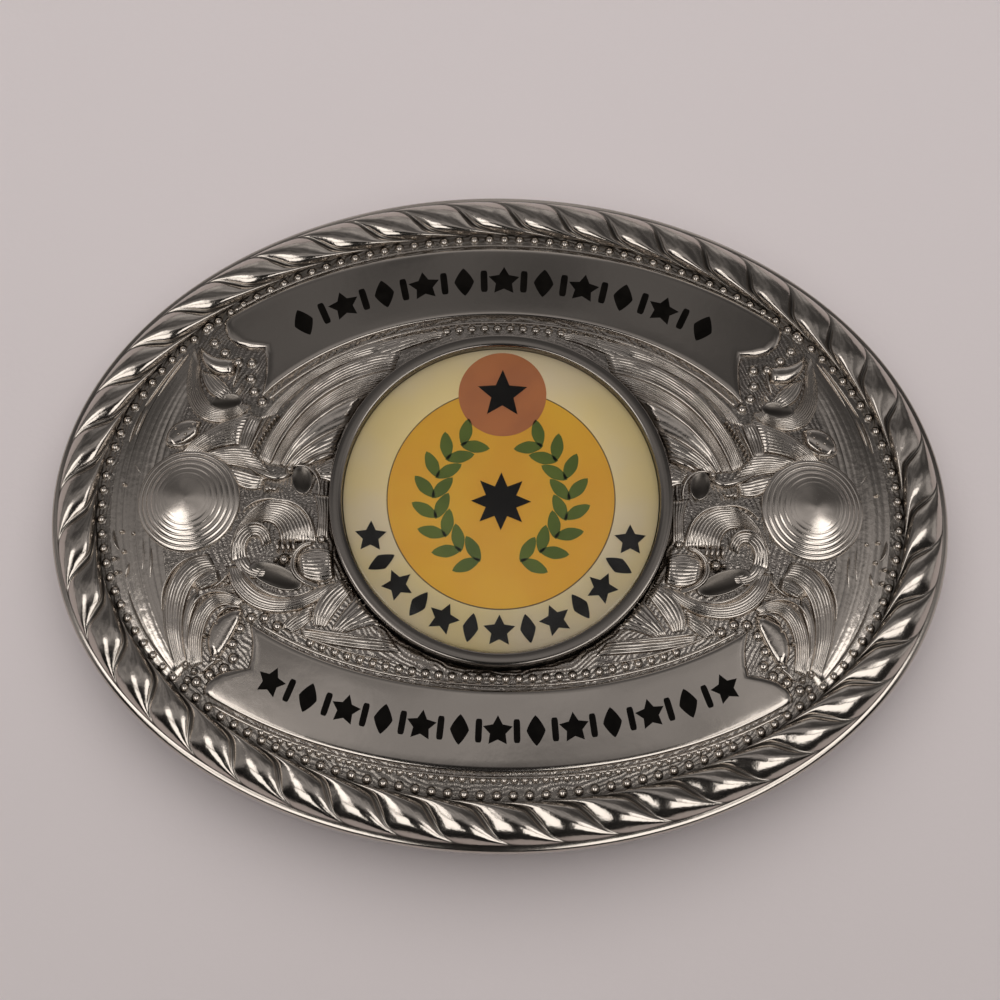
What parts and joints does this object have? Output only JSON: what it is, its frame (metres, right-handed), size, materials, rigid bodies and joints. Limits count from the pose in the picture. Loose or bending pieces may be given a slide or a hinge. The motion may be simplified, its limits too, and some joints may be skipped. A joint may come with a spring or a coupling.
{
  "type": "western trophy buckle",
  "caption": "Arched oval belt buckle plate with a rope edge, ribbons, rosettes and scroll relief round a domed print insert, with a wire loop and a hook behind.",
  "frame": {"origin": "centre of the oval, on the surface that the buckle lies on, face up", "axes": "+X along the length to the viewer's right, +Y up the face as it is worn, +Z out of the face"},
  "size_m": [0.1016, 0.0762, 0.0164],
  "materials": {
    "nickel_casting": "nickel plated zinc casting, darkened in the recesses",
    "polished_nickel": "polished",
    "print": "printed in cream, amber, green and orange",
    "clear_resin": "clear domed resin",
    "steel_wire": "satin"
  },
  "bodies": {
    "root": {"buckle_plate": "nickel_casting", "bezel_cup": "polished_nickel", "printed_disc": "print", "resin_dome": "clear_resin", "belt_loop": "steel_wire", "belt_hook": "steel_wire"}
  },
  "joints": []
}
